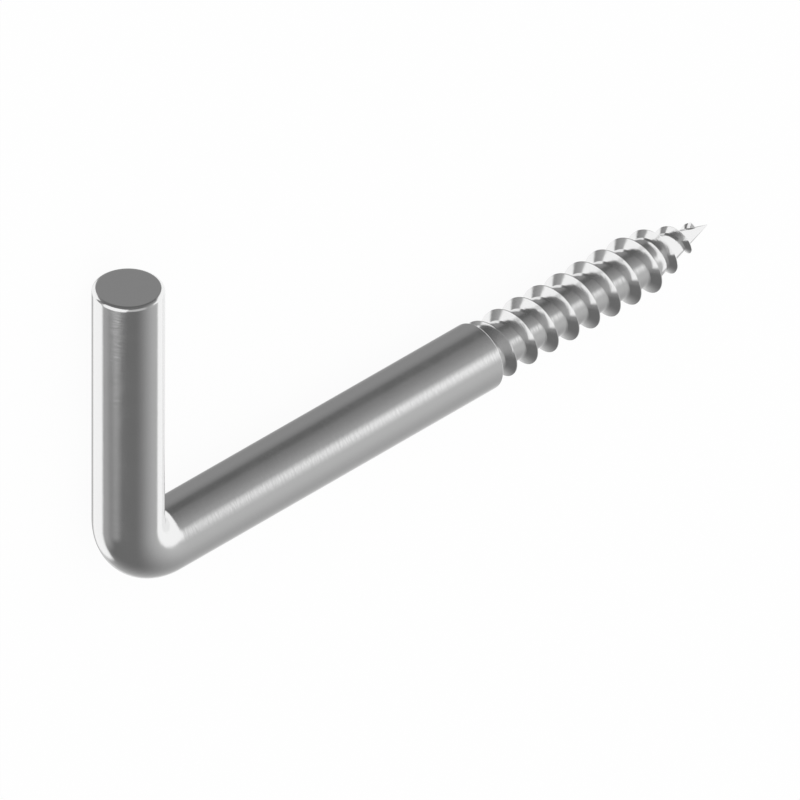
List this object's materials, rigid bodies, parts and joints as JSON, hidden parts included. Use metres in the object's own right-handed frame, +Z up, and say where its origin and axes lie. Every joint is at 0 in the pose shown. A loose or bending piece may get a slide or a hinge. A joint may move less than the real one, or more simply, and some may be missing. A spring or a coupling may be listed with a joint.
{
  "type": "l-hook screw",
  "caption": "Screw-in L-shaped hook: a round steel rod bent square into a short hook arm and a long plain shank that ends in a coarse right-hand wood thread with a sharp tapered point.",
  "frame": {"origin": "centre of the bounding box, on the surface that the screw lies on", "axes": "+X along the shank towards the point, +Y along the hook arm towards its end, +Z up from the surface that the screw lies on"},
  "size_m": [0.0706, 0.03, 0.006],
  "materials": {
    "bright_steel": "bright, lightly drawn along the rod"
  },
  "bodies": {
    "root": {"hook_screw": "bright_steel"}
  },
  "joints": []
}
